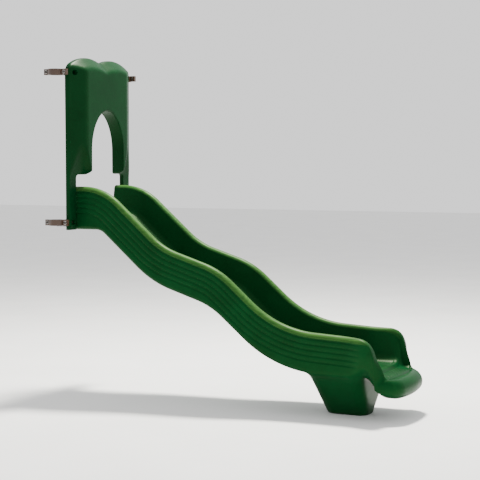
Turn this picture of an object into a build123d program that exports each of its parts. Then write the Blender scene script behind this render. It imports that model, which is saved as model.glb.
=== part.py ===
from build123d import *
import os

os.makedirs("parts", exist_ok=True)

# Wave slide with its sit-down entrance hood and the clamps that hold it between two posts.
# Row frame: +X down the slide, +Y to the slider's left, +Z up. The origin is the centre of the
# four deck bolt holes, on the seat face of the deck angle. Millimetres throughout.

# Heights above the ground
DECK_HEIGHT = 1219.0          # standing surface of the deck, 48 in
SEAT_HEIGHT = 1146.0          # seat face of the deck angle, under the deck's frame
LOWER_CLAMP_HEIGHT = 1170.0
UPPER_CLAMP_HEIGHT = 2145.0

# Posts
POST_X = 12.0                 # the line through both post centres
FACE_X = 45.0                 # the chute's end and the hood's back stand on this plane
POST_SPACING = 882.0
POST_DIAMETER = 88.9          # 3.5 in tube

# Chute
CHUTE_WIDTH = 590.0
WALL = 6.5                    # moulded wall
RIM_HEIGHT = 1402.0
BED_DEPTH = RIM_HEIGHT - DECK_HEIGHT
BED_WIDTH = 410.0
TROUGH_WIDTH = 464.0          # across the trough at the rim
BED_CORNER = 55.0
LIP_X = 2300.0                # front of the exit lip, from the post line
LIP_BOW = 48.0                # how far the lip's front stands ahead of its corners
LIP_CORNER = 70.0
STEP_X = 2105.0               # the ridge where the run-out drops to the lip
STEP_HALF = 199.0

# Foot
FOOT_TOP = (380.0, 586.0)
FOOT_BASE = (268.0, 184.0)
FOOT_TOP_X = 1854.0
FOOT_BASE_X = 1860.0
FOOT_TOP_HEIGHT = 300.0
FOOT_CORNER = 65.0

# Hood
HOOD_WIDTH = 780.0
HOOD_EDGE_DEPTH = 30.0        # thickness of the legs and of the edge all round
HOOD_DEPTH = 93.0
HOOD_SIDE_BEVEL = 130.0       # how far the raised front stands in from the sides
HOOD_TOP_BEVEL = 70.0         # and from the top
HOOD_BOTTOM = 1120.0
HOOD_PEAK = (170.0, 2250.0)   # top of each hump
HOOD_DIP = 2222.0
HOOD_SHOULDER = 2185.0
HOOD_BOLT_Y = 345.0
POCKET_R = 18.0
POCKET_FLOOR = 2 * WALL
SLOT_HALF = 301.0             # the hood's legs stand either side of the chute
NOTCH_HEIGHT = 1480.0         # foot of the arch's wings
ARCH_HALF = 202.0
ARCH_SPRING = 1660.0
ARCH_HAUNCH = (160.0, 1793.0)  # where the arch turns in
ARCH_CROWN = (48.0, 1892.0)    # where it rounds over
ARCH_APEX = 1906.0
HOOD_CORNER = 35.0

# Clamps and fasteners
CLAMP_HEIGHT = 38.0
CLAMP_BORE_R = POST_DIAMETER / 2 + 0.1
CLAMP_WALL = 6.5
CLAMP_GAP = 4.0
EAR_REACH = 84.0
EAR_THICK = 9.0
EAR_BOLT = 68.0
LUG_THICK = 6.0
LUG_R = 19.0
ANGLE_THICK = 6.0
ANGLE_LEG = 64.0
ANGLE_SEAT = 77.0
ANGLE_LENGTH = 750.0
M8_R = 4.0
M10_R = 5.0
CLEAR_M8 = 4.5
CLEAR_M10 = 5.5
BORE_PLAY = 0.05              # between a thread's outside and its nut or insert
CLEAR = 0.02                  # between an insert and the plastic round it
HEAD_R = 9.5
HEAD_HEIGHT = 5.5
SOCKET_R = 3.2
NUT_R = 9.8
NUT_HEIGHT = 8.0
WASHER_R = 11.5
WASHER_THICK = 2.0
CONE_R = 8.0                  # countersunk M8 head
CONE_HEIGHT = 4.2
SCREW_LENGTH = 24.0
SPACER_R = 12.0
INSERT_R = 8.0
INSERT_LENGTH = 22.0
BOSS_R = 14.0
CHUTE_SCREW_Y = 210.0
CHUTE_SCREW_HEIGHTS = (1158.0, 1184.0)
DECK_HOLES = (30.0, 500.0)
ANCHOR_HOLES = (90.0, 50.0)
ANCHOR_HOLE_R = 6.0
PLATE = (200.0, 122.0, 6.0)
PLATE_SCREWS = (164.0, 86.0)
WELL = (114.0, 74.0, 26.0)    # room above the plate for the anchor bolts' ends
CHUTE_VENT = 80.0             # behind the entry face
HOOD_VENT_HEIGHT = 2060.0
PLUG_R = 6.0
PLUG_HEAD_R = 9.0
PLUG_HEAD_HEIGHT = 2.5
PLUG_REACH = 4.0              # how far a plug's stem passes the wall
EDGE_ROUND = 26.0
BEYOND = 100.0                # how far a cutting shape runs past what it cuts


def at(x, height):
    """A point of the side view, from the post line and the ground."""
    return (POST_X + x, height - SEAT_HEIGHT)


def rod(radius, start, end):
    """A round bar from one point to another."""
    axis = Vector(*end) - Vector(*start)
    return extrude(Plane(origin=start, z_dir=axis) * Circle(radius), axis.length)


def block(low, high):
    """A box from its lowest to its highest corner."""
    size = [h - l for l, h in zip(low, high)]
    return Pos(*[(l + h) / 2 for l, h in zip(low, high)]) * Box(*size)


def rounded_face(plane, corners):
    """A closed outline of (u, v, radius) corners as a face on the plane."""
    points = [(u, v) for u, v, _ in corners]
    face = plane * make_face(Polyline(*points, close=True))
    for u, v, radius in corners:
        if radius:
            target = plane.from_local_coords(Vector(u, v))
            corner = min(face.vertices(), key=lambda vertex: (Vector(*vertex) - target).length)
            face = fillet(corner, radius)
    return face


SIDE = Plane(origin=(0, 0, 0), x_dir=(1, 0, 0), z_dir=(0, -1, 0))
FRONT = Plane(origin=(0, 0, 0), x_dir=(0, 1, 0), z_dir=(1, 0, 0))

# The rim line: entry, two waves and the run-out, as (x, height, radius)
RIM = [(250, RIM_HEIGHT, 400), (690, 1019, 500), (1090, 891, 560), (1495, 538, 700)]
RIM_END = (2500, 478)         # where the rim line would pass, ahead of the lip
NOSE = [(2130, 501, 128), (2200, 262, 36)]
LIP = [(LIP_X, 260, 55), (LIP_X, 136, 55), (2148, 136, 40)]
UNDERSIDE = [(2058, 272, 60), (1485, 272, 800), (1031, 656, 500), (609, 792, 700), (231, HOOD_BOTTOM, 100)]
STEP = [(STEP_X, 306), (2185, 258), (LIP_X + 80, 250)]
STEP_TOP = 330


def side_outline():
    start = FACE_X - POST_X
    corners = [(start, RIM_HEIGHT, 0), *RIM, *NOSE, *LIP, *UNDERSIDE, (start, HOOD_BOTTOM, 0)]
    return rounded_face(SIDE, [(*at(x, height), radius) for x, height, radius in corners])


def plan_outline(inset):
    """The chute from above, with the bowed front of the lip."""
    half, front, back = CHUTE_WIDTH / 2 - inset, POST_X + LIP_X - inset, FACE_X + inset
    corner_x = front - LIP_BOW
    lines = Polyline((corner_x, -half), (back, -half), (back, half), (corner_x, half))
    face = make_face(lines + ThreePointArc((corner_x, half), (front, 0), (corner_x, -half)))
    return fillet(face.vertices().group_by(Axis.X)[-1], LIP_CORNER - inset)


def trough(grow):
    """The space above the bed, swept along the rim line. grow is added below and at the sides."""
    points = [at(-BEYOND, RIM_HEIGHT), *[at(x, h) for x, h, _ in RIM], at(*RIM_END)]
    path = SIDE * FilletPolyline(*points, radius=[r for _, _, r in RIM])
    bed, top, rise = BED_WIDTH / 2 + grow, TROUGH_WIDTH / 2 + grow, BEYOND
    flare = (top - bed) / (BED_DEPTH + grow) * rise
    plane = Plane(origin=path @ 0, x_dir=(0, 1, 0), z_dir=(1, 0, 0))
    low = -BED_DEPTH - grow
    corners = [(-bed, low, BED_CORNER + grow), (bed, low, BED_CORNER + grow),
               (top + flare, rise, 0), (-top - flare, rise, 0)]
    return sweep(rounded_face(plane, corners), path=path)


def exit_step(grow):
    """The drop from the ridge down to the lip, cut between the side walls."""
    (ridge_x, ridge), (tread_x, tread), (end_x, end) = STEP
    points = [at(ridge_x - grow, STEP_TOP), at(ridge_x - grow, ridge - grow), at(tread_x, tread - grow),
              at(end_x, end - grow), at(end_x, STEP_TOP)]
    return extrude(SIDE * make_face(Polyline(*points, close=True)), STEP_HALF + grow, both=True)


def foot(inset):
    """The moulded foot under the run-out, a taper from the chute down to the ground."""
    low, high = -SEAT_HEIGHT + inset, FOOT_TOP_HEIGHT - SEAT_HEIGHT
    base = Pos(POST_X + FOOT_BASE_X, 0, low) * RectangleRounded(
        FOOT_BASE[0] - 2 * inset, FOOT_BASE[1] - 2 * inset, FOOT_CORNER - inset)
    top = Pos(POST_X + FOOT_TOP_X, 0, high) * RectangleRounded(
        FOOT_TOP[0] - 2 * inset, FOOT_TOP[1] - 2 * inset, FOOT_CORNER - inset)
    return loft([base, top], ruled=True)


def skin(inset):
    """The chute's closed outer form, before the trough is taken out of it."""
    side, half = side_outline(), CHUTE_WIDTH / 2 - inset
    if inset:
        side = offset(side, -inset)
    body = extrude(side, half, both=True)
    long_edges = [edge for edge in body.edges()
                  if abs(abs((edge @ 0.5).Y) - half) < 0.01 and edge.bounding_box().max.X > FACE_X + 10]
    body = fillet(long_edges, EDGE_ROUND - inset)
    return body & extrude(Pos(0, 0, -SEAT_HEIGHT) * plan_outline(inset), RIM_HEIGHT + BEYOND)


def chute_form(inset):
    return skin(inset) + foot(inset) - trough(inset) - exit_step(inset)


def chute_screw_places():
    """Start points on the entry face."""
    return [(FACE_X, y, h - SEAT_HEIGHT) for y in (-CHUTE_SCREW_Y, CHUTE_SCREW_Y)
            for h in CHUTE_SCREW_HEIGHTS]


def plate_screw_places(z):
    x0 = POST_X + FOOT_BASE_X
    return [(x0 + sx * PLATE_SCREWS[0] / 2, sy * PLATE_SCREWS[1] / 2, z)
            for sx in (-1, 1) for sy in (-1, 1)]


def foot_block(size, low, high, grow=0.0):
    """A block centred on the foot's base, between two heights above the ground."""
    x0, dx, dy = POST_X + FOOT_BASE_X, size[0] / 2 + grow, size[1] / 2 + grow
    return block((x0 - dx, -dy, low - SEAT_HEIGHT), (x0 + dx, dy, high - SEAT_HEIGHT))


def along(point, axis, distance):
    return tuple(Vector(*point) + Vector(*axis) * distance)


def insert(point, axis):
    """A blind threaded insert with its mouth at the point."""
    body = rod(INSERT_R - CLEAR, point, along(point, axis, INSERT_LENGTH))
    return body - rod(M8_R + BORE_PLAY, point, along(point, axis, INSERT_LENGTH - 2))


def countersunk_screw(point, axis, length):
    """A flat-headed screw whose head lies flush at the point."""
    plane = Plane(origin=point, z_dir=axis)
    head = plane * Cone(CONE_R, M8_R, CONE_HEIGHT, align=(Align.CENTER, Align.CENTER, Align.MIN))
    socket = extrude(plane * RegularPolygon(SOCKET_R, 6), 2.5)
    return head + rod(M8_R, point, along(point, axis, length)) - socket


def countersink(point, axis, depth):
    plane = Plane(origin=point, z_dir=axis)
    cone = Cone(CONE_R + 0.2, CLEAR_M8, CONE_HEIGHT, align=(Align.CENTER, Align.CENTER, Align.MIN))
    return plane * cone + rod(CLEAR_M8, point, along(point, axis, depth))


def button_bolt(seat, axis, length):
    """A round-headed bolt. The head stands on the seat and the shank runs the other way."""
    plane = Plane(origin=seat, z_dir=axis)
    head = plane * Cylinder(HEAD_R, HEAD_HEIGHT, align=(Align.CENTER, Align.CENTER, Align.MIN))
    head = fillet(head.edges().sort_by(lambda edge: (edge.center() - Vector(*seat)).dot(Vector(*axis)))[-1],
                  HEAD_HEIGHT * 0.7)
    top = along(seat, axis, HEAD_HEIGHT)
    socket = extrude(Plane(origin=top, z_dir=axis) * RegularPolygon(SOCKET_R, 6), -3)
    return head + rod(M10_R, seat, along(seat, axis, -length)) - socket


def nut(point, axis):
    plane = Plane(origin=point, z_dir=axis)
    return extrude(plane * RegularPolygon(NUT_R, 6), NUT_HEIGHT) - rod(
        M10_R + BORE_PLAY, point, along(point, axis, NUT_HEIGHT))


def ring(outer_r, inner_r, point, axis, height):
    end = along(point, axis, height)
    return rod(outer_r, point, end) - rod(inner_r, point, end)


X_AXIS, Y_AXIS, Z_AXIS = (1, 0, 0), (0, 1, 0), (0, 0, 1)
BACK_X, BACK_Y, DOWN = (-1, 0, 0), (0, -1, 0), (0, 0, -1)


def make_slide_chute():
    """One hollow moulding with solid bosses round its inserts and a recess for the anchor plate."""
    outer, hollow = chute_form(0), chute_form(WALL)
    plate_top = PLATE[2]
    outer -= foot_block(PLATE, 0, plate_top) + foot_block(WELL, plate_top, plate_top + WELL[2])
    hollow -= foot_block(PLATE, 0, plate_top + WALL, WALL)
    hollow -= foot_block(WELL, 0, plate_top + WELL[2] + WALL, WALL)
    for point in chute_screw_places():
        hollow -= rod(BOSS_R, point, along(point, X_AXIS, INSERT_LENGTH + WALL))
        outer -= rod(INSERT_R, point, along(point, X_AXIS, INSERT_LENGTH))
    for point in plate_screw_places(plate_top - SEAT_HEIGHT):
        hollow -= rod(BOSS_R, point, along(point, Z_AXIS, INSERT_LENGTH + WALL))
        outer -= rod(INSERT_R, point, along(point, Z_AXIS, INSERT_LENGTH))
    point = vent_places()["chute"][0]
    return outer - hollow - rod(PLUG_R, point, along(point, Z_AXIS, WALL))


def hood_outline(half, top_inset, bottom):
    """An edge of the hood seen along the slide, with two humps along the top."""
    shoulder, peak, dip = [h - top_inset - SEAT_HEIGHT for h in (HOOD_SHOULDER, HOOD_PEAK[1], HOOD_DIP)]
    floor, peak_y = bottom - SEAT_HEIGHT, HOOD_PEAK[0] * half / (HOOD_WIDTH / 2)
    right = ThreePointArc((0, dip), (peak_y, peak), (half, shoulder))
    left = ThreePointArc((-half, shoulder), (-peak_y, peak), (0, dip))
    sides = Polyline((half, shoulder), (half, floor), (-half, floor), (-half, shoulder))
    face = make_face(right + left + sides)
    return fillet(face.vertices().sort_by(Axis.Y)[2:], HOOD_CORNER)


def hood_opening(grow):
    """The arch, the notches above the rims and the slot that the chute stands in."""
    notch, floor = NOTCH_HEIGHT + grow - SEAT_HEIGHT, HOOD_BOTTOM - BEYOND - SEAT_HEIGHT
    leg, wing = SLOT_HALF + grow, ARCH_HALF + grow
    spring = (wing - 2, ARCH_SPRING - SEAT_HEIGHT)
    haunch = (ARCH_HAUNCH[0] + 0.8 * grow, ARCH_HAUNCH[1] + 0.6 * grow - SEAT_HEIGHT)
    crown = (ARCH_CROWN[0] + 0.5 * grow, ARCH_CROWN[1] + 0.87 * grow - SEAT_HEIGHT)
    right = Polyline((-leg, notch), (-leg, floor), (leg, floor), (leg, notch), (wing, notch), spring)
    right += ThreePointArc(spring, haunch, crown)
    top = ThreePointArc(crown, (0, ARCH_APEX + grow - SEAT_HEIGHT), (-crown[0], crown[1]))
    left = ThreePointArc((-crown[0], crown[1]), (-haunch[0], haunch[1]), (-spring[0], spring[1]))
    left += Polyline((-spring[0], spring[1]), (-wing, notch), (-leg, notch))
    return make_face(right + top + left)


def hood_form(inset):
    """A flat band with two legs, and above the notches a front raised on bevels round the arch."""
    back, band, front = FACE_X + inset, FACE_X + HOOD_EDGE_DEPTH - inset, FACE_X + HOOD_DEPTH - inset
    rise = HOOD_DEPTH - HOOD_EDGE_DEPTH
    side = inset * (1 + (HOOD_SIDE_BEVEL / rise) ** 2) ** 0.5 - inset * HOOD_SIDE_BEVEL / rise
    top = inset * (1 + (HOOD_TOP_BEVEL / rise) ** 2) ** 0.5 - inset * HOOD_TOP_BEVEL / rise
    half, notch = HOOD_WIDTH / 2, NOTCH_HEIGHT + inset
    planes = [Plane(origin=(x, 0, 0), x_dir=Y_AXIS, z_dir=X_AXIS) for x in (back, band, front)]
    band_outline = hood_outline(half - inset, inset, HOOD_BOTTOM + inset)
    low_outline = hood_outline(half - max(side, inset), max(top, inset), notch)
    high_outline = hood_outline(half - HOOD_SIDE_BEVEL - side, HOOD_TOP_BEVEL + top, notch)
    body = extrude(planes[0] * band_outline, band - back)
    body += loft([planes[1] * low_outline, planes[2] * high_outline], ruled=True)
    opening = extrude(planes[0] * hood_opening(inset), HOOD_DEPTH + BEYOND, both=True)
    return body - opening


def hood_bolt_places(x):
    return [(x, side * HOOD_BOLT_Y, height - SEAT_HEIGHT)
            for height in (LOWER_CLAMP_HEIGHT, UPPER_CLAMP_HEIGHT) for side in (-1, 1)]


def vent_places():
    """Where the two mouldings breathe, with the direction out."""
    return {"chute": ((FACE_X + CHUTE_VENT, 0, HOOD_BOTTOM - SEAT_HEIGHT), DOWN),
            "hood": ((FACE_X, 0, HOOD_VENT_HEIGHT - SEAT_HEIGHT), BACK_X)}


def make_entrance_hood():
    outer, hollow = hood_form(0), hood_form(WALL)
    for point in hood_bolt_places(FACE_X):
        hollow -= rod(POCKET_R + WALL, point, along(point, X_AXIS, HOOD_DEPTH))
        outer -= rod(POCKET_R, along(point, X_AXIS, POCKET_FLOOR), along(point, X_AXIS, BEYOND))
        outer -= rod(CLEAR_M10, point, along(point, X_AXIS, POCKET_FLOOR))
    point = vent_places()["hood"][0]
    return outer - hollow - rod(PLUG_R, point, along(point, X_AXIS, WALL))


def make_deck_angle():
    """The steel angle that carries the entry on the deck's frame and ties it to the lower lugs."""
    half, face = ANGLE_LENGTH / 2, FACE_X - ANGLE_THICK
    upright = block((face, -half, -ANGLE_THICK), (FACE_X, half, ANGLE_LEG - ANGLE_THICK))
    seat = block((FACE_X - ANGLE_SEAT, -half, -ANGLE_THICK), (face, half, 0))
    angle = upright + seat
    for x in (-DECK_HOLES[0] / 2, DECK_HOLES[0] / 2):
        for y in (-DECK_HOLES[1] / 2, DECK_HOLES[1] / 2):
            angle -= rod(CLEAR_M10, (x, y, -ANGLE_THICK), (x, y, 0))
    for point in hood_bolt_places(FACE_X)[:2]:
        angle -= rod(CLEAR_M10, point, along(point, BACK_X, ANGLE_THICK))
    for point in chute_screw_places():
        angle -= countersink(along(point, BACK_X, ANGLE_THICK), X_AXIS, ANGLE_THICK)
    return angle


def make_anchor_plate():
    x0, z = POST_X + FOOT_BASE_X, -SEAT_HEIGHT
    plate = foot_block(PLATE, 0, PLATE[2], -0.5)
    for sx in (-1, 1):
        for sy in (-1, 1):
            x, y = x0 + sx * ANCHOR_HOLES[0] / 2, sy * ANCHOR_HOLES[1] / 2
            plate -= rod(ANCHOR_HOLE_R, (x, y, z), (x, y, z + PLATE[2]))
    for point in plate_screw_places(z):
        plate -= countersink(point, Z_AXIS, PLATE[2])
    return plate


def clamp_half(height, inner):
    """Half of the clamp on the left-hand post. The inner half carries the lug."""
    y0, middle = POST_SPACING / 2, height - SEAT_HEIGHT
    low, high = middle - CLAMP_HEIGHT / 2, middle + CLAMP_HEIGHT / 2
    side = -1 if inner else 1
    near, far = sorted((y0 + side * CLAMP_GAP / 2, y0 + side * BEYOND))
    band = rod(CLAMP_BORE_R + CLAMP_WALL, (POST_X, y0, low), (POST_X, y0, high))
    half = band & block((POST_X - BEYOND, near, low), (POST_X + BEYOND, far, high))
    ear_y = sorted((y0 + side * CLAMP_GAP / 2, y0 + side * (CLAMP_GAP / 2 + EAR_THICK)))
    half += block((POST_X - EAR_REACH, ear_y[0], low), (POST_X + EAR_REACH, ear_y[1], high))
    if inner:
        face = FACE_X - ANGLE_THICK
        back, front = (face - LUG_THICK, HOOD_BOLT_Y, middle), (face, HOOD_BOLT_Y, middle)
        half += block((face - LUG_THICK, HOOD_BOLT_Y, low), (face, y0 - CLAMP_BORE_R + CLAMP_WALL, high))
        half += rod(LUG_R, back, front)
        half -= rod(CLEAR_M10, back, front)
    half -= rod(CLAMP_BORE_R, (POST_X, y0, low), (POST_X, y0, high))
    for x in (POST_X - EAR_BOLT, POST_X + EAR_BOLT):
        half -= rod(CLEAR_M10, (x, ear_y[0], middle), (x, ear_y[1], middle))
    return half


def clamp_bolt_places():
    """Where each clamp bolt meets the outer ear: the point and the direction outwards."""
    reach = POST_SPACING / 2 + CLAMP_GAP / 2 + EAR_THICK
    return [((x, side * reach, height - SEAT_HEIGHT), (0, side, 0))
            for height in (LOWER_CLAMP_HEIGHT, UPPER_CLAMP_HEIGHT) for side in (-1, 1)
            for x in (POST_X - EAR_BOLT, POST_X + EAR_BOLT)]


def make_clamp_fasteners():
    grip = CLAMP_GAP + 2 * EAR_THICK
    washers, bolts, nuts = [], [], []
    for point, out in clamp_bolt_places():
        washers.append(ring(WASHER_R, CLEAR_M10, point, out, WASHER_THICK))
        bolts.append(button_bolt(along(point, out, WASHER_THICK), out, WASHER_THICK + grip + NUT_HEIGHT + 2))
        nuts.append(nut(along(point, out, -grip - NUT_HEIGHT), out))
    return {"clamp_washers": washers, "clamp_bolts": bolts, "clamp_nuts": nuts}


def make_hood_fasteners():
    stack = POCKET_FLOOR + WASHER_THICK + ANGLE_THICK + LUG_THICK + NUT_HEIGHT + 2
    washers, bolts, nuts = [], [], []
    for point in hood_bolt_places(FACE_X):
        floor = along(point, X_AXIS, POCKET_FLOOR)
        washers.append(ring(WASHER_R, CLEAR_M10, floor, X_AXIS, WASHER_THICK))
        bolts.append(button_bolt(along(floor, X_AXIS, WASHER_THICK), X_AXIS, stack))
        nuts.append(nut(along(point, BACK_X, ANGLE_THICK + LUG_THICK + NUT_HEIGHT), X_AXIS))
    spacers = [ring(SPACER_R, CLEAR_M10, point, BACK_X, ANGLE_THICK)
               for point in hood_bolt_places(FACE_X)[2:]]
    return {"hood_washers": washers, "hood_bolts": bolts, "hood_nuts": nuts, "hood_spacers": spacers}


def make_vent_plugs():
    plugs = []
    for point, out in vent_places().values():
        stem = rod(PLUG_R - CLEAR, along(point, out, -WALL - PLUG_REACH), point)
        plugs.append(stem + rod(PLUG_HEAD_R, point, along(point, out, PLUG_HEAD_HEIGHT)))
    return plugs


nodes = {
    "slide_chute": [make_slide_chute()],
    "entrance_hood": [make_entrance_hood()],
    "deck_angle": [make_deck_angle()],
    "chute_screws": [countersunk_screw(along(point, BACK_X, ANGLE_THICK), X_AXIS, SCREW_LENGTH)
                     for point in chute_screw_places()],
    "chute_inserts": [insert(point, X_AXIS) for point in chute_screw_places()],
    "anchor_plate": [make_anchor_plate()],
    "plate_screws": [countersunk_screw(point, Z_AXIS, SCREW_LENGTH)
                     for point in plate_screw_places(-SEAT_HEIGHT)],
    "plate_inserts": [insert(point, Z_AXIS) for point in plate_screw_places(PLATE[2] - SEAT_HEIGHT)],
    "vent_plugs": make_vent_plugs(),
    **make_clamp_fasteners(),
    **make_hood_fasteners(),
}
for level, height in (("upper", UPPER_CLAMP_HEIGHT), ("lower", LOWER_CLAMP_HEIGHT)):
    for half_name, is_inner in (("inner", True), ("outer", False)):
        left = clamp_half(height, is_inner)
        nodes[f"{level}_left_clamp_{half_name}"] = [left]
        nodes[f"{level}_right_clamp_{half_name}"] = [mirror(left, Plane.XZ)]

for name, pieces in nodes.items():
    solids = [solid for piece in pieces for solid in piece.solids()]
    shape = solids[0] if len(solids) == 1 else Compound(children=solids)
    shape.label = name
    export_step(shape, f"parts/{name}.step")
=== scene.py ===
import math

import bmesh
import bpy
import numpy as np
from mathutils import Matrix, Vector


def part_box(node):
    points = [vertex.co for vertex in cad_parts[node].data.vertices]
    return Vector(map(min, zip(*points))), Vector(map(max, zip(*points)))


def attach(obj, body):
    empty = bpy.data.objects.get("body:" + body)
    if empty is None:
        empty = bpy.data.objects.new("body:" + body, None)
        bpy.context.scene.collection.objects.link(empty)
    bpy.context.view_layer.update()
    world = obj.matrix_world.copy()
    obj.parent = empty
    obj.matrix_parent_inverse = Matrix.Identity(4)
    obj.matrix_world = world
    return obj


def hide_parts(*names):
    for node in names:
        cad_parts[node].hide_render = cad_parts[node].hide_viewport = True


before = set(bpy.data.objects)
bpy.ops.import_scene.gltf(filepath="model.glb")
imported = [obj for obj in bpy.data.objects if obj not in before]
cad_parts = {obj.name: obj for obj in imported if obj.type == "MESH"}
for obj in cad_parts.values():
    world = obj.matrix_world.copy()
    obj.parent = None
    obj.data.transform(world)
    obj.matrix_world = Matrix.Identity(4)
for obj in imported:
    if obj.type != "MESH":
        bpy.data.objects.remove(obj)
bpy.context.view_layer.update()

# Places taken from the frame, in metres
chute_low, chute_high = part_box("slide_chute")
hood_low, hood_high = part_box("entrance_hood")
bolt_low, bolt_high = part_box("hood_bolts")
GROUND = chute_low.z
FACE_X = chute_low.x               # the plane of the chute's end and the hood's back
POST_X = FACE_X - 0.033            # the line through the post centres
HALF_WIDTH = chute_high.y
LIP_X = chute_high.x - POST_X

# Outlines of the chute seen from the side: (x from the post line, height, corner radius)
RIM = [(0.250, 1.402, 0.40), (0.690, 1.019, 0.50), (1.090, 0.891, 0.56), (1.495, 0.538, 0.70)]
RIM_END_SLOPE = -0.06
NOSE = [(2.156, 0.501, 0.125), (2.222, 0.262, 0.036)]
UNDERSIDE = [(2.058, 0.272, 0.10), (1.485, 0.272, 0.80), (1.031, 0.656, 0.50), (0.609, 0.792, 0.70),
             (0.231, 1.120, 0.10)]
BED_DEPTH = 0.183
LIP_TOP, LIP_BOTTOM, LIP_REAR = 0.262, 0.136, 2.148
LIP_MIDDLE, LIP_ROUND = (LIP_TOP + LIP_BOTTOM) / 2, (LIP_TOP - LIP_BOTTOM) / 2
EXIT_X = 2.075                     # the sections stand upright from here to the lip
RIDGE_END, TREAD_START, TREAD_END, GROOVE_X = 2.104, 2.127, 2.195, 2.208
TREAD_HEIGHT, TREAD_SLOPE = 0.276, -0.20
TREAD_ROW, TREAD_ROWS, TREAD_BAR, TREAD_RAISED, TREAD_HALF = 0.0135, 5, 0.042, 0.003, 0.165
RIDGE_RISE, RIDGE_LENGTH = 0.004, 0.016
DRAIN_DEPTH, DRAIN_WIDTH, LIP_START = 0.009, 0.007, GROOVE_X + 0.015     # the groove before the lip

# Cross-section of the chute: widths are half widths
BED_HALF, INNER_TOP, OUTER_TOP = 0.205, 0.232, 0.290
CREST_ROUND, LIP_CREST_ROUND = 0.029, 0.052
BOTTOM_ROUND, LIP_BOTTOM_ROUND = 0.026, 0.130
BED_CORNER = 0.055
GROOVES = (0.037, 0.071, 0.105, 0.139, 0.173)      # distances below the rim
GROOVE_DEPTH, GROOVE_HALF = 0.0055, 0.010
ROUND_SHARE = 0.40                 # the most of a section's height that one rounding takes

# The exit: what changes on the way to the lip, and between which distances from the post line
LIP_BOW, LIP_CORNER, LIP_REAR_ROUND = 0.042, 0.13, 0.08
RUN_OUT_DROP, RUN_OUT_SPAN = 0.026, (1.55, 1.95)        # the trough gets deeper
NOSE_FLARE, FLARE_FROM = 0.030, 0.15                    # the walls lean out beyond this width
FLARE_RISE, FLARE_FALL, FLARE_HEIGHTS = (1.90, 2.08), (2.17, 2.26), (0.24, 0.42)
NOSE_WIDENING, NOSE_THINNING, NOSE_SPAN = 0.08, 0.008, (1.92, 2.10)     # the walls get thinner
NOSE_SWEEP, SWEEP_SPAN = 0.075, (2.13, 2.23)            # the walls' inner edges fall away sooner
LIP_LIFT, LIFT_SPAN, LIFT_HEIGHT = 0.016, (2.04, 2.16), 0.12     # the underside rises at its ends
GROOVE_SPAN, BOTTOM_SPAN = (1.96, 2.06), (1.96, 2.12)   # the grooves fade, the lower edges get rounder
HIGHLIGHT_SPAN, HIGHLIGHT_BAND = (2.00, 2.14), 0.040                # the painted rim highlight fades; its height on the wall

# The foot: base and top sizes
FOOT_TOP_HEIGHT, FOOT_CORNER, FOOT_BLEND, FOOT_EDGE = 0.30, 0.065, 0.06, 0.015
FOOT_REAR, FOOT_FRONT, FOOT_SIDE = (1.738, 1.676), (2.006, 2.046), (0.092, 0.294)

# The hood
ARCH_HALF, ARCH_SPRING, ARCH_APEX, NOTCH = 0.201, 1.64, 1.906, 1.48
LEG_INNER, HOOD_BOTTOM = 0.301, 1.12
HOOD_DIP, HOOD_PEAK, HOOD_PEAK_Y, HOOD_SHOULDER = 2.222, 2.250, 0.170, 2.185
HOOD_BAND, SIDE_BEVEL, TOP_BEVEL = 0.030, 0.130, 0.070
HOOD_EDGE, DIP_ROUND, SHOULDER_ROUND = 0.008, 0.016, 0.035
WING_LOW, WING_HIGH, CROWN_LOW = NOTCH - 0.03, NOTCH + 0.09, 1.80     # where the edges' parts meet
ARCH_LOW, ARCH_POINT = NOTCH + 0.03, 1.08
LEG_SPAN, LEG_RAMP, LEG_RAMP_OUTER = (0.20, 0.33), 0.035, 0.30
BOLT_HEAD_RADIUS, POCKET_RADIUS, POCKET_CUT = 0.0095, 0.018, 0.2


def smoothstep(low, high, value):
    t = np.clip((value - low) / (high - low), 0, 1)
    return t * t * (3 - 2 * t)


def blend(span, x):
    """How far x is through a span of distances, eased at both ends."""
    return float(smoothstep(*span, x))


def smooth_min(a, b, width):
    h = np.clip(0.5 + 0.5 * (b - a) / width, 0, 1)
    return b + (a - b) * h - width * h * (1 - h)


def smooth_max(a, b, width):
    return -smooth_min(-a, -b, width)


def filleted(corners, spacing=0.003):
    """Points along a polyline whose corners are rounded by tangent arcs."""
    points = [np.array(corner[:2], float) for corner in corners]
    out = [points[0]]
    for i in range(1, len(points) - 1):
        radius = corners[i][2]
        back, ahead = points[i - 1] - points[i], points[i + 1] - points[i]
        back, ahead = back / np.linalg.norm(back), ahead / np.linalg.norm(ahead)
        half = math.acos(np.clip(back @ ahead, -1, 1)) / 2
        start, end = points[i] + back * radius / math.tan(half), points[i] + ahead * radius / math.tan(half)
        centre = points[i] + (back + ahead) / np.linalg.norm(back + ahead) * radius / math.sin(half)
        a0, a1 = math.atan2(*(start - centre)[::-1]), math.atan2(*(end - centre)[::-1])
        turn = (a1 - a0 + math.pi) % (2 * math.pi) - math.pi
        for t in np.linspace(0, 1, max(4, int(abs(turn) * radius / spacing))):
            out.append(centre + radius * np.array([math.cos(a0 + turn * t), math.sin(a0 + turn * t)]))
    out.append(points[-1])
    return resampled(np.array(out), spacing)


def resampled(points, spacing):
    lengths = np.r_[0, np.cumsum(np.linalg.norm(np.diff(points, axis=0), axis=1))]
    s = np.linspace(0, lengths[-1], int(lengths[-1] / spacing) + 1)
    return np.stack([np.interp(s, lengths, points[:, k]) for k in range(2)], 1)


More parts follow.
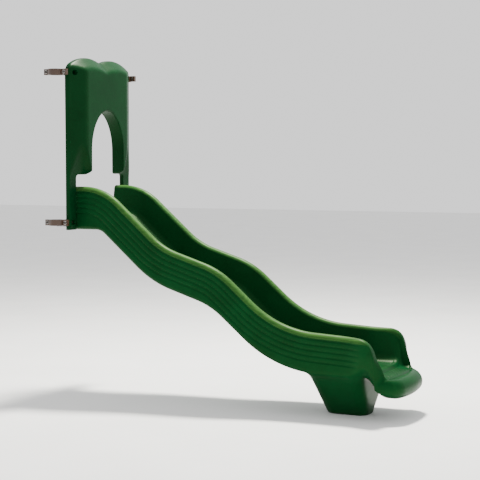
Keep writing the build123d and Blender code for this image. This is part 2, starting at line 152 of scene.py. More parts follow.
def mesh_object(name, vertices, faces, material, sharp_angle=math.radians(40)):
    mesh = bpy.data.meshes.new(name)
    mesh.from_pydata([tuple(v) for v in vertices], [], faces)
    mesh.update()
    piece = bpy.data.objects.new(name, mesh)
    bpy.context.scene.collection.objects.link(piece)
    cleaned(piece)
    mesh.shade_smooth()
    mesh.set_sharp_from_angle(angle=sharp_angle)
    mesh.materials.append(material)
    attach(piece, "root")
    return piece


def cleaned(piece):
    """Points every face outwards."""
    work = bmesh.new()
    work.from_mesh(piece.data)
    bmesh.ops.recalc_face_normals(work, faces=work.faces)
    work.to_mesh(piece.data)
    work.free()


# ---------------------------------------------------------------- materials

def node_tree(name):
    material = bpy.data.materials.new(name)
    material.use_nodes = True
    tree = material.node_tree
    shader = tree.nodes["Principled BSDF"]
    coordinates = tree.nodes.new("ShaderNodeTexCoord").outputs["Object"]
    return material, tree, shader, coordinates


def noise(tree, coordinates, scale, detail=4.0, roughness=0.55, distortion=0.0):
    node = tree.nodes.new("ShaderNodeTexNoise")
    node.inputs["Scale"].default_value = scale
    node.inputs["Detail"].default_value = detail
    node.inputs["Roughness"].default_value = roughness
    node.inputs["Distortion"].default_value = distortion
    tree.links.new(coordinates, node.inputs["Vector"])
    return node.outputs["Fac"]


def stretched(tree, coordinates, scale):
    node = tree.nodes.new("ShaderNodeMapping")
    node.inputs["Scale"].default_value = scale
    tree.links.new(coordinates, node.inputs["Vector"])
    return node.outputs["Vector"]


def ramp(tree, value, stops):
    node = tree.nodes.new("ShaderNodeValToRGB")
    elements = node.color_ramp.elements
    while len(elements) < len(stops):
        elements.new(0.5)
    for element, (place, colour) in zip(elements, stops):
        element.position = place
        element.color = (*colour, 1)
    tree.links.new(value, node.inputs["Fac"])
    return node.outputs["Color"]


def to_range(tree, value, low, high, new_low, new_high):
    node = tree.nodes.new("ShaderNodeMapRange")
    for key, number in zip(("From Min", "From Max", "To Min", "To Max"), (low, high, new_low, new_high)):
        node.inputs[key].default_value = number
    tree.links.new(value, node.inputs["Value"])
    return node.outputs["Result"]


def mixed(tree, factor, first, second, blend="MIX"):
    node = tree.nodes.new("ShaderNodeMix")
    node.data_type = "RGBA"
    node.blend_type = blend
    for key, value in (("Factor", factor), ("A", first), ("B", second)):
        kind = "VALUE" if key == "Factor" else "RGBA"
        socket = [s for s in node.inputs if s.name == key and s.type == kind][0]
        if isinstance(value, (int, float)):
            socket.default_value = value
        elif isinstance(value, tuple):
            socket.default_value = (*value, 1)
        else:
            tree.links.new(value, socket)
    return [s for s in node.outputs if s.type == "RGBA"][0]


def math_node(tree, operation, first, second):
    node = tree.nodes.new("ShaderNodeMath")
    node.operation = operation
    for socket, value in zip(node.inputs, (first, second)):
        if isinstance(value, (int, float)):
            socket.default_value = value
        else:
            tree.links.new(value, socket)
    return node.outputs["Value"]


def bumped(tree, shader, layers):
    """Chains bump nodes, one for each (height, strength, distance in metres)."""
    previous = None
    for height, strength, distance in layers:
        node = tree.nodes.new("ShaderNodeBump")
        node.inputs["Strength"].default_value = strength
        node.inputs["Distance"].default_value = distance
        tree.links.new(height, node.inputs["Height"])
        if previous:
            tree.links.new(previous, node.inputs["Normal"])
        previous = node.outputs["Normal"]
    tree.links.new(previous, shader.inputs["Normal"])


def attribute(tree, name):
    node = tree.nodes.new("ShaderNodeAttribute")
    node.attribute_name = name
    return node.outputs["Fac"]


# painted highlight: a lighter, yellower green laid along the chute's rim where the light catches it
PAINTED_RIM_HIGHLIGHT = (0.062, 0.150, 0.030)


def moulded_green(name, light, dark, worn, chute=False):
    """Rotationally moulded polyethylene: pigment clouding, a fine pebbled skin and sliding wear.

    On the chute the "wear" attribute marks the slid-on bed, and the "crest" attribute a painted highlight
    along the rim.
    """
    material, tree, shader, place = node_tree(name)
    clouds = noise(tree, place, 5.0, 5.0, 0.6, 0.4)
    speckle = noise(tree, place, 260.0, 2.0, 0.5)
    pebbles = noise(tree, place, 420.0, 3.0, 0.6)
    swells = noise(tree, place, 26.0, 2.0, 0.5)
    colour = ramp(tree, clouds, [(0.30, dark), (0.70, light)])
    colour = mixed(tree, to_range(tree, speckle, 0.55, 0.75, 0.0, 0.25), colour, worn)
    gloss = to_range(tree, clouds, 0.3, 0.7, 0.33, 0.43)
    if chute:
        streaks = noise(tree, stretched(tree, place, (3.0, 90.0, 90.0)), 1.0, 5.0, 0.65)
        patchy = to_range(tree, streaks, 0.42, 0.66, 0.0, 1.0)
        rubbed = math_node(tree, "MULTIPLY", attribute(tree, "wear"), patchy)
        # painted highlight along the rim: the crest attribute, broken up by the streaks, lightens the colour
        # towards the highlight green
        painted_highlight = math_node(tree, "MULTIPLY", attribute(tree, "crest"),
                             to_range(tree, streaks, 0.30, 0.70, 0.25, 0.85))
        colour = mixed(tree, math_node(tree, "MULTIPLY", rubbed, 0.35), colour, worn)
        colour = mixed(tree, painted_highlight, colour, PAINTED_RIM_HIGHLIGHT)
        gloss = math_node(tree, "ADD", gloss, math_node(tree, "MULTIPLY", rubbed, 0.12))
    tree.links.new(colour, shader.inputs["Base Color"])
    tree.links.new(gloss, shader.inputs["Roughness"])
    shader.inputs["IOR"].default_value = 1.2
    shader.inputs["Specular IOR Level"].default_value = 0.3
    shader.inputs["Specular Tint"].default_value = (0.70, 1.0, 0.45, 1)
    bumped(tree, shader, [(swells, 0.25, 0.0016), (pebbles, 0.22, 0.0005)])
    return material


def powder_coat(name, light, dark):
    material, tree, shader, place = node_tree(name)
    clouds = noise(tree, place, 18.0, 4.0)
    peel = noise(tree, place, 900.0, 2.0)
    colour = ramp(tree, clouds, [(0.3, dark), (0.7, light)])
    tree.links.new(colour, shader.inputs["Base Color"])
    tree.links.new(to_range(tree, clouds, 0.3, 0.7, 0.38, 0.5), shader.inputs["Roughness"])
    shader.inputs["Coat Weight"].default_value = 0.25
    shader.inputs["Coat Roughness"].default_value = 0.25
    bumped(tree, shader, [(peel, 0.35, 0.0003)])
    return material


def bare_metal(name, light, dark, rough, grain_scale):
    material, tree, shader, place = node_tree(name)
    spangle = tree.nodes.new("ShaderNodeTexVoronoi")
    spangle.inputs["Scale"].default_value = grain_scale
    tree.links.new(place, spangle.inputs["Vector"])
    clouds = noise(tree, place, grain_scale * 0.4, 4.0)
    shade = math_node(tree, "MULTIPLY", clouds, to_range(tree, spangle.outputs["Distance"], 0, 0.9, 1.1, 0.8))
    tree.links.new(ramp(tree, shade, [(0.3, dark), (0.65, light)]), shader.inputs["Base Color"])
    tree.links.new(to_range(tree, clouds, 0.3, 0.7, rough - 0.06, rough + 0.08), shader.inputs["Roughness"])
    shader.inputs["Metallic"].default_value = 1.0
    bumped(tree, shader, [(noise(tree, place, grain_scale * 6, 3.0), 0.2, 0.0002)])
    return material


def black_plastic(name):
    material, tree, shader, place = node_tree(name)
    grain = noise(tree, place, 700.0, 3.0)
    colour = ramp(tree, noise(tree, place, 40.0), [(0.3, (0.012, 0.012, 0.013)), (0.7, (0.03, 0.03, 0.031))])
    tree.links.new(colour, shader.inputs["Base Color"])
    tree.links.new(to_range(tree, grain, 0.3, 0.7, 0.42, 0.55), shader.inputs["Roughness"])
    bumped(tree, shader, [(grain, 0.3, 0.0003)])
    return material


chute_green = moulded_green("chute_green", (0.0012, 0.038, 0.0095), (0.0007, 0.026, 0.0062),
                            (0.010, 0.075, 0.016), chute=True)
hood_green = moulded_green("hood_green", (0.0010, 0.028, 0.0076), (0.0006, 0.020, 0.0054),
                           (0.005, 0.045, 0.012))
brown_paint = powder_coat("brown_paint", (0.050, 0.021, 0.008), (0.034, 0.014, 0.0055))
dark_coat = powder_coat("dark_coat", (0.040, 0.030, 0.024), (0.022, 0.017, 0.014))
galvanised = bare_metal("galvanised", (0.62, 0.63, 0.64), (0.40, 0.41, 0.43), 0.42, 90.0)
stainless = bare_metal("stainless", (0.72, 0.71, 0.69), (0.55, 0.54, 0.53), 0.28, 300.0)
brass = bare_metal("turned_brass", (0.80, 0.60, 0.26), (0.62, 0.44, 0.17), 0.3, 300.0)
black = black_plastic("black_plastic")


# ---------------------------------------------------------------- the chute

UNDER_COUNT, CORNER_COUNT, WALL_COUNT, CREST_COUNT = 48, 8, 60, 8
BED_CORNER_COUNT, INNER_COUNT, BED_COUNT = 14, 22, 56
CREST_TURN = np.linspace(0, math.pi / 2, CREST_COUNT + 1)
PATH_SPACING = 0.0015
NEARLY = 0.999                     # keeps an arc just short of its straights' ends


def rim_line():
    """The rim as it would run without the nose, past the front of the lip."""
    last_x, last_h = RIM[-1][:2]
    end = LIP_X + 0.2
    end_h = last_h + RIM_END_SLOPE * (end - last_x)
    return filleted([(FACE_X - POST_X, RIM[0][1], 0), *RIM, (end, end_h, 0)])


def crossing(path, base, tangent, normal):
    """How far below each base point its section line crosses the path."""
    found = np.empty(len(base))
    for i, (p, t, n) in enumerate(zip(base, tangent, normal)):
        along, down = (path - p) @ t, (path - p) @ n
        change = np.nonzero((along[:-1] <= 1e-9) != (along[1:] <= 1e-9))[0]
        if len(change) == 0:
            found[i] = down[np.argmin(abs(along))]
            continue
        weight = along[change] / (along[change] - along[change + 1])
        values = down[change] + weight * (down[change + 1] - down[change])
        found[i] = values[np.argmin(abs(values))]
    return found


def station_marks(line, lengths):
    """Distances along the rim line: closer together round the foot and closest over the exit."""
    roll_start = LIP_X - LIP_ROUND
    places = [(FACE_X - POST_X, 0.012), (1.64, 0.0055), (EXIT_X, 0.0024), (roll_start, 0)]
    marks = [np.interp(x, line[:, 0], lengths) for x, _ in places]
    parts = []
    for (start, end), (_, step) in zip(zip(marks[:-1], marks[1:]), places[:-1]):
        count = int(round((end - start) / step))
        parts.append(start + (end - start) * np.arange(count) / count)
    roll = roll_start + LIP_ROUND * np.sin(np.radians(np.linspace(0, 88.5, 22)))
    parts.append(np.interp(roll, line[:, 0], lengths))
    return np.concatenate(parts)


def deck_height(x, bed):
    """Height between the walls: the bed, a low ridge, the drop to the tread, a groove and the lip."""
    ridge = bed + RIDGE_RISE * smoothstep(EXIT_X, EXIT_X + RIDGE_LENGTH, x)
    tread = TREAD_HEIGHT + TREAD_SLOPE * (x - TREAD_START)
    deck = ridge + (tread - ridge) * smoothstep(RIDGE_END, TREAD_START, x)
    deck = deck + (LIP_TOP - deck) * smoothstep(TREAD_END, LIP_START, x)
    deck = deck - DRAIN_DEPTH * np.exp(-((x - GROOVE_X) / DRAIN_WIDTH) ** 2)
    past = np.clip(x - (LIP_X - LIP_ROUND), 0, LIP_ROUND)
    return deck - LIP_ROUND + np.sqrt(LIP_ROUND ** 2 - past ** 2)


def tread_bars(x, y):
    """Raised bars in staggered rows across the exit."""
    row = (x - TREAD_START) / TREAD_ROW
    along_row = y / TREAD_BAR + 0.5 * (np.floor(row) % 2)
    bar = smoothstep(0.10, 0.32, np.abs(np.sin(np.pi * along_row)))
    line = smoothstep(0.35, 0.75, np.sin(np.pi * (row % 1)))
    inside = (x > TREAD_START) & (x < TREAD_START + TREAD_ROWS * TREAD_ROW) & (np.abs(y) < TREAD_HALF)
    return TREAD_RAISED * bar * line * inside


def groove_cut(below_rim):
    cut = np.zeros_like(below_rim)
    for place in GROOVES:
        away = np.clip(np.abs(below_rim - place) / GROOVE_HALF, 0, 1)
        cut += GROOVE_DEPTH * (0.5 + 0.5 * np.cos(np.pi * away))
    return cut


def trough_section():
    """Half of the trough from the middle of the bed to the foot of the crest, as (y, depth)."""
    corner = filleted([(0, BED_DEPTH, 0), (BED_HALF, BED_DEPTH, BED_CORNER),
                       (INNER_TOP, CREST_ROUND, 0)], 0.0005)
    lengths = np.r_[0, np.cumsum(np.linalg.norm(np.diff(corner, axis=0), axis=1))]
    wall_angle = math.atan2(BED_DEPTH - CREST_ROUND, INNER_TOP - BED_HALF)
    reach = BED_CORNER * math.tan(wall_angle / 2)
    flat_end = BED_HALF - reach
    wall_start = lengths[-1] - (math.hypot(BED_DEPTH - CREST_ROUND, INNER_TOP - BED_HALF) - reach)
    s = np.r_[np.linspace(0, flat_end, BED_COUNT, endpoint=False),
              np.linspace(flat_end, wall_start, BED_CORNER_COUNT, endpoint=False),
              np.linspace(wall_start, lengths[-1], INNER_COUNT, endpoint=False)]
    return [np.interp(s, lengths, corner[:, k]) for k in range(2)]


def foot_height(x, y):
    """Height at which the foot's leaning sides pass over each point, by halving the interval."""
    def outside(height):
        share = height / FOOT_TOP_HEIGHT
        rear, front, side = [a + (b - a) * share for a, b in (FOOT_REAR, FOOT_FRONT, FOOT_SIDE)]
        across_x = np.abs(x - (rear + front) / 2) - (front - rear) / 2 + FOOT_CORNER
        across_y = np.abs(y) - side + FOOT_CORNER
        return np.hypot(np.maximum(across_x, 0), np.maximum(across_y, 0)) > FOOT_CORNER
    low, high = np.full_like(x, -0.15), np.full_like(x, 0.60)
    for _ in range(24):
        middle = (low + high) / 2
        beyond = outside(middle)
        low, high = np.where(beyond, middle, low), np.where(beyond, high, middle)
    return smooth_max(high, np.zeros_like(high), FOOT_EDGE)


def flare(points):
    """Leans the walls out where they rise to the nose."""
    x, y, height = points.T
    along = smoothstep(*FLARE_RISE, x) * (1 - smoothstep(*FLARE_FALL, x))
    share = np.clip((np.abs(y) - FLARE_FROM) / (HALF_WIDTH - FLARE_FROM), 0, 1)
    points[:, 1] += NOSE_FLARE * along * share * smoothstep(*FLARE_HEIGHTS, height)


def front_bow(x, y):
    """The lip is bowed in plan and its corners are round: how far back a point moves."""
    into_corner = np.clip(np.abs(y) - (HALF_WIDTH - LIP_CORNER), 0, LIP_CORNER * NEARLY)
    back = LIP_BOW * (y / HALF_WIDTH) ** 2 + LIP_CORNER - np.sqrt(LIP_CORNER ** 2 - into_corner ** 2)
    return back * np.clip((x - EXIT_X) / (LIP_X - EXIT_X), 0, 1) ** 1.5


def section_frames(line, lengths, marks, step=0.004):
    """Each section's point on the rim line, the way along it and the way down from it."""
    base, ahead, behind = [np.stack([np.interp(marks + d, lengths, line[:, k]) for k in range(2)], 1)
                           for d in (0, step, -step)]
    tangent = (ahead - behind) / np.linalg.norm(ahead - behind, axis=1)[:, None]
    upright = smoothstep(EXIT_X - 0.2, EXIT_X, base[:, :1])
    tangent = tangent * (1 - upright) + np.array([1.0, 0.0]) * upright
    tangent /= np.linalg.norm(tangent, axis=1)[:, None]
    return base, tangent, np.stack([tangent[:, 1], -tangent[:, 0]], 1)


def side_paths():
    """The chute's upper and lower outlines seen from the side, which meet at the lip's tip."""
    start = FACE_X - POST_X - 0.02
    tip, roll = (LIP_X, LIP_MIDDLE, 0), LIP_ROUND * NEARLY
    upper = [(start, RIM[0][1], 0), *RIM, *NOSE, (LIP_X, LIP_TOP, roll), tip]
    lower = [tip, (LIP_X, LIP_BOTTOM, roll), (LIP_REAR, LIP_BOTTOM, LIP_REAR_ROUND),
             *UNDERSIDE, (start, UNDERSIDE[-1][1], 0)]
    return filleted(upper, PATH_SPACING), filleted(lower, PATH_SPACING)


def bed_depths(base):
    """How far below each point of the rim line the bed, or past the exit the deck, is."""
    bed = BED_DEPTH + RUN_OUT_DROP * smoothstep(*RUN_OUT_SPAN, base[:, 0])
    deck = base[:, 1] - deck_height(base[:, 0], base[:, 1] - bed)
    return np.where(base[:, 0] < EXIT_X, bed, deck)


def crest_shape(x):
    """The crest's outer radius and middle, and how many times wider the trough is."""
    to_lip = blend((EXIT_X, GROOVE_X), x)
    to_nose = blend(NOSE_SPAN, x) * (1 - blend((GROOVE_X, LIP_X), x))
    outer = CREST_ROUND - NOSE_THINNING * to_nose + (LIP_CREST_ROUND - CREST_ROUND) * to_lip
    return outer, OUTER_TOP - outer + (HALF_WIDTH - OUTER_TOP) * to_lip, 1 + NOSE_WIDENING * to_nose


def sweep_at(x):
    return NOSE_SWEEP * (1 - blend(SWEEP_SPAN, x))


def inner_half(x, trough, deck, top_at):
    """Half of the trough from the middle of the bed to the top of the crest, as widths and depths.

    It also gives, for each point, its share of the painted rim highlight and of the worn bed.
    """
    trough_y, trough_depth = trough
    _, crest_middle, widened = crest_shape(x)
    crest_inner = crest_middle - INNER_TOP * widened
    sweep = sweep_at(x)
    tops = top_at(np.r_[np.full(len(trough_y), sweep), sweep * (1 - 0.5 * np.sin(CREST_TURN))])
    y = np.r_[trough_y * widened, crest_middle - crest_inner * np.cos(CREST_TURN)]
    share = np.r_[trough_depth, CREST_ROUND * (1 - np.sin(CREST_TURN))] / BED_DEPTH
    on_bed = np.arange(len(y)) <= BED_COUNT
    down = np.where(on_bed, deck, tops + share * np.maximum(deck - tops, 0))
    # painted highlight: full at the top of the crest, fading down the inner wall and towards the lip
    rim = (1 - blend(HIGHLIGHT_SPAN, x)) * np.clip(1 - share / 0.12, 0, 1) * ~on_bed
    worn = np.clip(1.15 - np.abs(y) / 0.2, 0, 1) + 0.6 * (share < 0.1)
    return y, down - tread_bars(x, y) * on_bed, rim, worn


def outer_half(x, side_top, low, top_at, place):
    """Points from the middle of the underside round the wall to the crest, and their share of the painted rim
    highlight.
    """
    crest_outer, crest_middle, _ = crest_shape(x)
    to_lip = blend((EXIT_X, GROOVE_X), x)
    tall = low - side_top
    crest_drop = min(CREST_ROUND + (LIP_CREST_ROUND - CREST_ROUND) * to_lip, ROUND_SHARE * tall)
    bottom = BOTTOM_ROUND + (LIP_BOTTOM_ROUND - BOTTOM_ROUND) * blend(BOTTOM_SPAN, x)
    bottom_rise = min(bottom, ROUND_SHARE * tall)
    lift = LIP_LIFT * blend(LIFT_SPAN, x) * min(1, tall / LIFT_HEIGHT)

    under_y = np.linspace(0, HALF_WIDTH - bottom, UNDER_COUNT, endpoint=False)
    corner_turn = np.linspace(0, math.pi / 2, CORNER_COUNT, endpoint=False)
    corner_y = HALF_WIDTH - bottom + bottom * np.sin(corner_turn)
    corner_down = low - bottom_rise * (1 - np.cos(corner_turn))
    below = place(np.r_[under_y, corner_y], np.r_[np.full(UNDER_COUNT, low), corner_down])
    below[:, 2] += lift * (below[:, 1] / HALF_WIDTH) ** 2
    if FOOT_REAR[1] - 0.1 < x < LIP_X - 0.1:
        below[:, 2] = smooth_min(below[:, 2], foot_height(below[:, 0], below[:, 1]), FOOT_BLEND)

    rise = np.linspace(0, 1, WALL_COUNT, endpoint=False)
    wall_down = low - bottom_rise - lift - (tall - bottom_rise - lift - crest_drop) * rise
    cut = groove_cut(wall_down - side_top) * (1 - blend(GROOVE_SPAN, x))
    wall = place(HALF_WIDTH + (crest_middle + crest_outer - HALF_WIDTH) * rise - cut, wall_down)

    crest_top = top_at(sweep_at(x) * 0.5 * np.sin(CREST_TURN))
    crest = place(crest_middle + crest_outer * np.cos(CREST_TURN),
                  crest_top + crest_drop * (1 - np.sin(CREST_TURN)))
    # painted highlight: full on the crest's top, half at its outer edge, and a band fading down the outer
    # wall
    near_top = np.clip(1 - (wall_down - side_top) / HIGHLIGHT_BAND, 0, 1)
    rim = np.r_[np.zeros(len(below)), 0.5 * near_top ** 2, 0.5 + 0.5 * np.sin(CREST_TURN)]
    return np.concatenate([below, wall, crest]), (1 - blend(HIGHLIGHT_SPAN, x)) * rim


def whole_ring(outer, inner, mirror=1):
    """Joins both halves and their mirror images into one loop round the section."""
    return np.concatenate([outer, inner[-2::-1], inner[1:] * mirror, outer[-2:0:-1] * mirror])


def chute_sections():
    """The chute's rings of points, one for each station, how worn each point is and its share of the painted
    rim highlight.
    """
    line = rim_line()
    lengths = np.r_[0, np.cumsum(np.linalg.norm(np.diff(line, axis=0), axis=1))]
    marks = station_marks(line, lengths)
    base, tangent, normal = section_frames(line, lengths, marks)
    top, low = [crossing(path, base, tangent, normal) for path in side_paths()]
    deck = bed_depths(base)
    trough = trough_section()

    rings, wear, highlight_rings = [], [], []
    for i, mark in enumerate(marks):
        def top_at(ahead):
            return np.interp(mark + ahead, marks, top)

        def place(y, down):
            return np.stack([base[i, 0] + normal[i, 0] * down, y, base[i, 1] + normal[i, 1] * down], 1)

        x = base[i, 0]
        inner_y, inner_down, inner_highlight, worn = inner_half(x, trough, deck[i], top_at)
        inner = place(inner_y, inner_down)
        outer, outer_highlight = outer_half(x, top[i], low[i], top_at, place)
        for half in (outer, inner):
            half[:, 0] -= front_bow(np.full(len(half), x), half[:, 1])
            flare(half)
        rings.append(whole_ring(outer, inner, np.array([1, -1, 1])))
        wear.append(whole_ring(np.zeros(len(outer)), worn))
        # the painted rim highlight, kept as the "crest" attribute
        highlight_rings.append(whole_ring(outer_highlight, inner_highlight))
    return np.array(rings), {"wear": np.array(wear), "crest": np.array(highlight_rings)}, len(outer)


def front_strip(upper, lower, y):
    """Triangles between the last ring's upper and lower edges, both in order across the lip."""
    faces, i, j = [], 0, 0
    while i < len(upper) - 1 or j < len(lower) - 1:
        take_upper = j == len(lower) - 1 or (i < len(upper) - 1 and y[upper[i + 1]] <= y[lower[j + 1]])
        if take_upper:
            faces.append((upper[i], lower[j], upper[i + 1]))
            i += 1
        else:
            faces.append((upper[i], lower[j], lower[j + 1]))
            j += 1
    return [face for face in faces if len(set(face)) == 3]


def chute_faces(rings, outer_count):
    """Quads between the rings, one flat face at the entry and a thin strip along the lip's front."""
    count, size = rings.shape[:2]
    faces = [tuple(range(size))]
    for i in range(count - 1):
        a, b = i * size, (i + 1) * size
        faces += [(a + k, a + (k + 1) % size, b + (k + 1) % size, b + k) for k in range(size)]
    last = (count - 1) * size
    edge = outer_count - CREST_COUNT - WALL_COUNT // 2
    upper = list(range(edge, size - edge + 1))
    lower = list(range(edge, -1, -1)) + list(range(size - 1, size - edge - 1, -1))
    y = rings.reshape(-1, 3)[:, 1] * -1
    faces += front_strip([last + k for k in upper], [last + k for k in lower], y)
    return faces


def make_chute():
    rings, marks, outer_count = chute_sections()
    points = rings.reshape(-1, 3) + np.array([POST_X, 0, GROUND])
    faces = chute_faces(rings, outer_count)
    piece = mesh_object("chute_skin", points, faces, chute_green, math.radians(50))
    # the "wear" attribute holds real wear, the "crest" attribute the painted rim highlight
    for name, values in marks.items():
        layer = piece.data.attributes.new(name, "FLOAT", "POINT")
        layer.data.foreach_set("value", values.reshape(-1).astype(np.float32))
    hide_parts("slide_chute")
    return piece


# ---------------------------------------------------------------- the hood

def hood_top(y):
    """Height of the hood's upper edge: a circle through the dip, the peak and the shoulder."""
    y = np.sqrt(y ** 2 + DIP_ROUND ** 2)
    (x1, z1), (x2, z2), (x3, z3) = (0, HOOD_DIP), (HOOD_PEAK_Y, HOOD_PEAK), (hood_high.y, HOOD_SHOULDER)
    d = 2 * (x1 * (z2 - z3) + x2 * (z3 - z1) + x3 * (z1 - z2))
    s1, s2, s3 = x1 ** 2 + z1 ** 2, x2 ** 2 + z2 ** 2, x3 ** 2 + z3 ** 2
    cx = (s1 * (z2 - z3) + s2 * (z3 - z1) + s3 * (z1 - z2)) / d
    cz = (s1 * (x3 - x2) + s2 * (x1 - x3) + s3 * (x2 - x1)) / d
    radius = math.hypot(x1 - cx, z1 - cz)
    circle = cz + np.sqrt(radius ** 2 - (y - cx) ** 2)
    outward = np.clip(y - (hood_high.y - SHOULDER_ROUND), 0, SHOULDER_ROUND)
    return circle - (SHOULDER_ROUND - np.sqrt(np.maximum(SHOULDER_ROUND ** 2 - outward ** 2, 0)))


def split_evenly(points, count, last=False):
    lengths = np.r_[0, np.cumsum(np.linalg.norm(np.diff(points, axis=0), axis=1))]
    s = np.linspace(0, lengths[-1], count, endpoint=last)
    return np.stack([np.interp(s, lengths, points[:, k]) for k in range(2)], 1)


def upright(y, low, high):
    return np.array([(y, low), (y, high)])


def hood_curves():
    """Matching points of the hood's inner and outer edges, for its left half, from the leg to the top."""
    outer_y = hood_high.y
    angle = np.linspace(0, math.pi / 2, 60)
    arch = np.stack([ARCH_HALF * np.cos(angle) ** ARCH_POINT,
                     ARCH_SPRING + (ARCH_APEX - ARCH_SPRING) * np.sin(angle)], 1)
    corner = filleted([(LEG_INNER, WING_LOW, 0), (LEG_INNER, NOTCH, 0.02), (ARCH_HALF, NOTCH, 0.016),
                       (ARCH_HALF, ARCH_LOW, 0)], 0.001)
    top_y = np.linspace(outer_y, 0, 120)
    crown = np.concatenate([[(outer_y, CROWN_LOW)], np.stack([top_y, hood_top(top_y)], 1)])
    pairs = [
        (upright(LEG_INNER, HOOD_BOTTOM, WING_LOW), upright(outer_y, HOOD_BOTTOM, WING_LOW), 40),
        (corner, upright(outer_y, WING_LOW, WING_HIGH), 40),
        (upright(ARCH_HALF, ARCH_LOW, ARCH_SPRING), upright(outer_y, WING_HIGH, CROWN_LOW), 20),
        (arch, crown, 90)]
    inner = np.concatenate([split_evenly(a, n, i == 3) for i, (a, _, n) in enumerate(pairs)])
    outer = np.concatenate([split_evenly(b, n, i == 3) for i, (_, b, n) in enumerate(pairs)])
    return inner, outer


def hood_front(y, h):
    """Depth of the hood's front from its back: a band, and bevels up to the raised face."""
    side = (hood_high.y - np.abs(y)) / SIDE_BEVEL
    top = (hood_top(y) - h) / TOP_BEVEL
    low = (h - (NOTCH - 0.012)) / (LEG_RAMP + LEG_RAMP_OUTER * smoothstep(*LEG_SPAN, np.abs(y)))
    rise = smooth_min(smooth_min(smooth_min(side, top, 0.12), low, 0.12), np.ones_like(y), 0.16)
    full = hood_high.x - hood_low.x
    return HOOD_BAND + (full - HOOD_BAND) * np.clip(smooth_max(rise, np.zeros_like(y), 0.08), 0, 1)


def hood_row(inner, outer):
    """The ring of points through the hood from its inner to its outer edge: over the front, back behind."""
    edge_angle = np.linspace(0, math.pi / 2, 6)
    span = np.linalg.norm(outer - inner)
    near = HOOD_EDGE * (1 - np.cos(edge_angle)) / span
    share = np.r_[near, np.linspace(near[-1], 1 - near[-1], 30)[1:-1], 1 - near[::-1]]
    spot = inner + (outer - inner) * share[:, None]
    depth = hood_front(spot[:, 0], spot[:, 1])
    inside = np.clip(HOOD_EDGE - np.minimum(share, 1 - share) * span, 0, HOOD_EDGE)
    curl = HOOD_EDGE - np.sqrt(np.maximum(HOOD_EDGE ** 2 - inside ** 2, 0))
    front = np.stack([hood_low.x + depth - curl, spot[:, 0], spot[:, 1] + GROUND], 1)
    back = np.stack([hood_low.x + curl, spot[:, 0], spot[:, 1] + GROUND], 1)
    return np.concatenate([front, back[::-1]])


def make_hood():
    inner, outer = [np.concatenate([half, half[-2::-1] * [-1, 1]]) for half in hood_curves()]
    rows = [hood_row(a, b) for a, b in zip(inner, outer)]
    count, size = len(rows), len(rows[0])
    faces = [(i * size + k, i * size + (k + 1) % size, (i + 1) * size + (k + 1) % size, (i + 1) * size + k)
             for i in range(count - 1) for k in range(size)]
    for start in (0, (count - 1) * size):
        faces += [(start + k, start + k + 1, start + size - 2 - k, start + size - 1 - k)
                  for k in range(size // 2 - 1)]
    points = np.concatenate(rows)
    piece = mesh_object("hood_skin", points, faces, hood_green, math.radians(45))
    cut_pockets(piece)
    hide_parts("entrance_hood")
    return piece


def cut_pockets(piece):
    """Sinks a round pocket over each of the hood's four bolts."""
    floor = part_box("hood_washers")[0].x
    y = bolt_high.y - BOLT_HEAD_RADIUS
    for side in (-1, 1):
        for z in (bolt_low.z + BOLT_HEAD_RADIUS, bolt_high.z - BOLT_HEAD_RADIUS):
            bpy.ops.mesh.primitive_cylinder_add(
                vertices=64, radius=POCKET_RADIUS, depth=POCKET_CUT, end_fill_type="NGON",
                location=(floor + POCKET_CUT / 2, side * y, z), rotation=(0, math.pi / 2, 0))
            cutter = bpy.context.object
            cut = piece.modifiers.new("pocket", "BOOLEAN")
            cut.operation, cut.solver, cut.object = "DIFFERENCE", "EXACT", cutter
            bpy.context.view_layer.objects.active = piece
            bpy.ops.object.modifier_apply(modifier=cut.name)
            bpy.data.objects.remove(cutter)
    piece.data.set_sharp_from_angle(angle=math.radians(45))


# ---------------------------------------------------------------- metal parts from the frame

def dress_hardware():
    """Gives every piece that is carried over from the CAD its material."""
    looks = {galvanised: ("deck_angle", "anchor_plate"),
             stainless: ("chute_screws", "plate_screws", "clamp_washers", "hood_washers"),
             brass: ("chute_inserts", "plate_inserts"),
             black: ("vent_plugs", "hood_spacers"),
             dark_coat: ("clamp_bolts", "clamp_nuts", "hood_bolts", "hood_nuts"),
             brown_paint: tuple(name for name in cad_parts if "_clamp_" in name)}
    for material, names in looks.items():
        for name in names:
            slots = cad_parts[name].data.materials
            slots.clear()
            slots.append(material)


# ---------------------------------------------------------------- studio

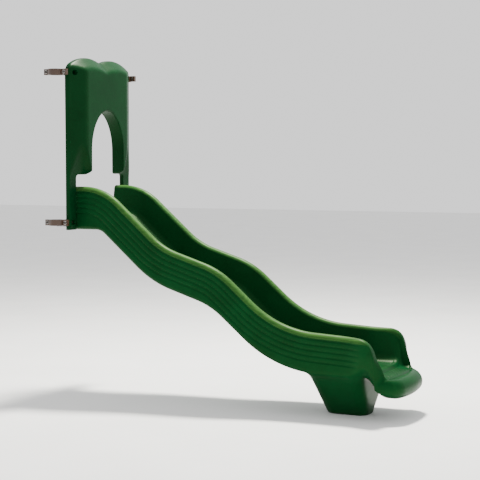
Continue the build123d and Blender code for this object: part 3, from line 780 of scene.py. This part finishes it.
FLOOR_SIZE = 60
SKY_STRENGTH = 1.25
KEY_PLACE, KEY_TARGET = (0.9, 1.7, 5.2), (1.1, 0, -0.4)
KEY_SIZE, KEY_POWER, KEY_COLOUR = 1.0, 1500, (1.0, 0.98, 0.90)
CAMERA_PLACE = (4.784, -7.774, 0.443)
CAMERA_TARGET = (1.12, 0.0, -0.085)
CAMERA_LENS = 100.0


def make_floor():
    material, tree, shader, place = node_tree("floor")
    tone = noise(tree, place, 1.5, 3.0)
    tree.links.new(ramp(tree, tone, [(0.3, (0.80, 0.80, 0.795)), (0.7, (0.84, 0.84, 0.835))]),
                   shader.inputs["Base Color"])
    shader.inputs["Roughness"].default_value = 0.9
    bpy.ops.mesh.primitive_plane_add(size=FLOOR_SIZE, location=(1, 0, GROUND))
    floor = bpy.context.object
    floor.name = "floor"
    floor.data.materials.append(material)


def area_light(name, place, target, size, power, colour):
    data = bpy.data.lights.new(name, "AREA")
    data.shape, data.size, data.energy, data.color = "DISK", size, power, colour
    light = bpy.data.objects.new(name, data)
    light.location = place
    light.rotation_euler = (Vector(target) - Vector(place)).to_track_quat("-Z", "Y").to_euler()
    bpy.context.scene.collection.objects.link(light)


def make_lights():
    world = bpy.data.worlds.new("studio")
    world.use_nodes = True
    background = world.node_tree.nodes["Background"]
    background.inputs["Color"].default_value = (1, 1, 1, 1)
    background.inputs["Strength"].default_value = SKY_STRENGTH
    bpy.context.scene.world = world
    area_light("key", KEY_PLACE, KEY_TARGET, KEY_SIZE, KEY_POWER, KEY_COLOUR)


def make_camera():
    data = bpy.data.cameras.new("camera")
    data.lens, data.sensor_width = CAMERA_LENS, 36.0
    camera = bpy.data.objects.new("camera", data)
    camera.location = CAMERA_PLACE
    direction = Vector(CAMERA_TARGET) - Vector(CAMERA_PLACE)
    camera.rotation_euler = direction.to_track_quat("-Z", "Y").to_euler()
    bpy.context.scene.collection.objects.link(camera)
    bpy.context.scene.camera = camera


make_chute()
make_hood()
dress_hardware()
make_floor()
make_lights()
make_camera()
